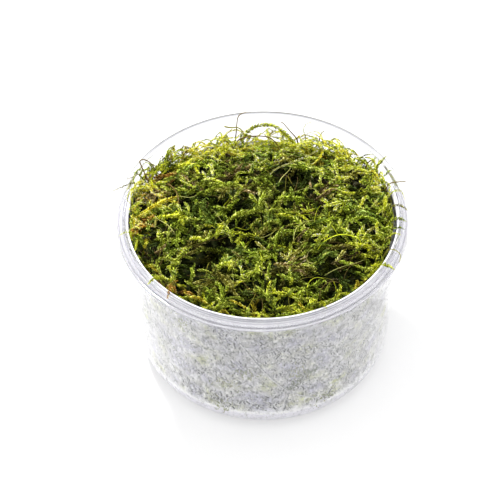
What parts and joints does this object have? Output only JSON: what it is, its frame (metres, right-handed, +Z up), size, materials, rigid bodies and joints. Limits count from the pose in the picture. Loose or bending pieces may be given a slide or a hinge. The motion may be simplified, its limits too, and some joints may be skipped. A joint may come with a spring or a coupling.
{
  "type": "moss clump in a clear culture cup",
  "caption": "Tangled clump of leafy aquatic moss on nutrient gel, filling an open clear plastic cup with a flat lip; stray shoots reach over the rim.",
  "frame": {"origin": "centre of the flat base of the cup, on the surface it stands on", "axes": "+Z up along the cup's axis; -Y is the side seen in the picture, where the moss comes up to the rim"},
  "size_m": [0.0815, 0.08, 0.0531],
  "materials": {
    "clear_plastic": "clear, slightly milky moulded plastic, glossy",
    "gel": "cloudy, wet nutrient gel full of fine bubbles and moss fragments",
    "moss": "wet, translucent leaves, mid to dark green",
    "young_shoot": "wet, translucent lime-green young leaves",
    "pale_shoot": "bleached yellow-green shoots",
    "brown_stem": "thin, wiry red-brown stems"
  },
  "bodies": {
    "root": {"cup": "clear_plastic", "nutrient_gel": "gel", "moss_mat": "moss", "looping_shoot": "young_shoot", "arched_stem": "brown_stem", "curly_stem": "brown_stem", "cross_stem": "moss", "thorny_stem": "brown_stem", "pale_arc": "pale_shoot", "stub_stem": "moss", "back_pale_tip": "pale_shoot", "hooked_stem": "moss", "looped_stem": "brown_stem", "back_right_tip": "pale_shoot", "right_brown_stem": "brown_stem", "right_pale_shoot": "pale_shoot", "right_green_tip": "young_shoot", "right_thin_hook": "moss", "right_front_tuft": "young_shoot", "front_tip": "young_shoot", "front_left_strand": "pale_shoot", "front_left_tuft": "young_shoot", "left_green_tip": "young_shoot", "left_grey_shoot": "moss", "left_thin_stem": "brown_stem", "bent_brown_stem": "brown_stem", "brown_stem_on_top": "brown_stem", "long_pale_shoot": "pale_shoot", "bright_shoot_left": "young_shoot", "bright_shoot_middle": "young_shoot", "bright_shoot_right": "young_shoot", "thin_pale_arc": "young_shoot"}
  },
  "joints": []
}
